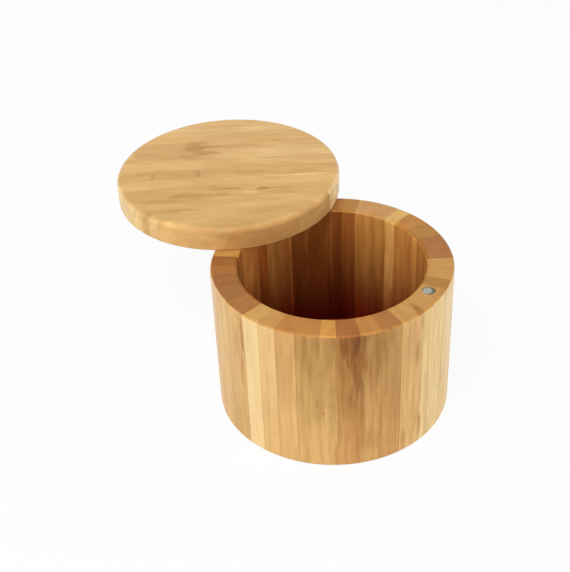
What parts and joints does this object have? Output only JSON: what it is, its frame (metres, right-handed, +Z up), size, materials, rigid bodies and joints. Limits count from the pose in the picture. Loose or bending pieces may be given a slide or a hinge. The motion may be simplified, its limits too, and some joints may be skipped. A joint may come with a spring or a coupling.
{
  "type": "round salt box with swivel lid",
  "caption": "Round coopered bamboo salt box; its flat turned bamboo lid swivels sideways on a vertical steel pin in the rim and closes on a small magnet.",
  "frame": {"origin": "centre of the underside, on the surface that the box stands on", "axes": "+Z up, along the axis of the round body; +Y from the centre towards the pivot pin at the back; the rim magnet is near the front, towards -Y. At rest the lid is swung open towards +X and +Y"},
  "size_m": [0.1234, 0.1452, 0.0693],
  "materials": {
    "stave_bamboo": "bamboo staves, fibres upright, sanded smooth and oiled, end grain at the rim",
    "lid_bamboo": "bamboo strips glued face to face, sanded smooth and oiled",
    "base_bamboo": "flat bamboo strips, sanded, lightly oiled",
    "pin_steel": "ground steel dowel",
    "magnet_nickel": "nickel plated magnet, satin"
  },
  "bodies": {
    "box": {"base_strip_01": "base_bamboo", "base_strip_02": "base_bamboo", "base_strip_03": "base_bamboo", "base_strip_04": "base_bamboo", "base_strip_05": "base_bamboo", "rim_magnet": "magnet_nickel", "stave_01": "stave_bamboo", "stave_02": "stave_bamboo", "stave_03": "stave_bamboo", "stave_04": "stave_bamboo", "stave_05": "stave_bamboo", "stave_06": "stave_bamboo", "stave_07": "stave_bamboo", "stave_08": "stave_bamboo", "stave_09": "stave_bamboo", "stave_10": "stave_bamboo", "stave_11": "stave_bamboo", "stave_12": "stave_bamboo", "stave_13": "stave_bamboo", "stave_14": "stave_bamboo", "stave_15": "stave_bamboo", "stave_16": "stave_bamboo", "stave_17": "stave_bamboo", "stave_18": "stave_bamboo", "stave_19": "stave_bamboo", "stave_20": "stave_bamboo", "stave_21": "stave_bamboo", "stave_22": "stave_bamboo", "stave_23": "stave_bamboo", "stave_24": "stave_bamboo", "stave_25": "stave_bamboo", "stave_26": "stave_bamboo", "stave_27": "stave_bamboo", "stave_28": "stave_bamboo", "stave_29": "stave_bamboo", "stave_30": "stave_bamboo", "stave_31": "stave_bamboo", "stave_32": "stave_bamboo", "stave_33": "stave_bamboo", "stave_34": "stave_bamboo", "stave_35": "stave_bamboo", "stave_36": "stave_bamboo"},
    "lid": {"lid_magnet": "magnet_nickel", "lid_strip_01": "lid_bamboo", "lid_strip_02": "lid_bamboo", "lid_strip_03": "lid_bamboo", "lid_strip_04": "lid_bamboo", "lid_strip_05": "lid_bamboo", "lid_strip_06": "lid_bamboo", "lid_strip_07": "lid_bamboo", "lid_strip_08": "lid_bamboo", "lid_strip_09": "lid_bamboo", "lid_strip_10": "lid_bamboo", "lid_strip_11": "lid_bamboo", "lid_strip_12": "lid_bamboo", "pivot_pin": "pin_steel"}
  },
  "joints": [
    {"name": "lid_swivel", "type": "hinge", "parent": "box", "child": "lid", "pos_m": [0, 0.0388, 0.06], "axis": [0, 0, 1], "continuous": true}
  ]
}
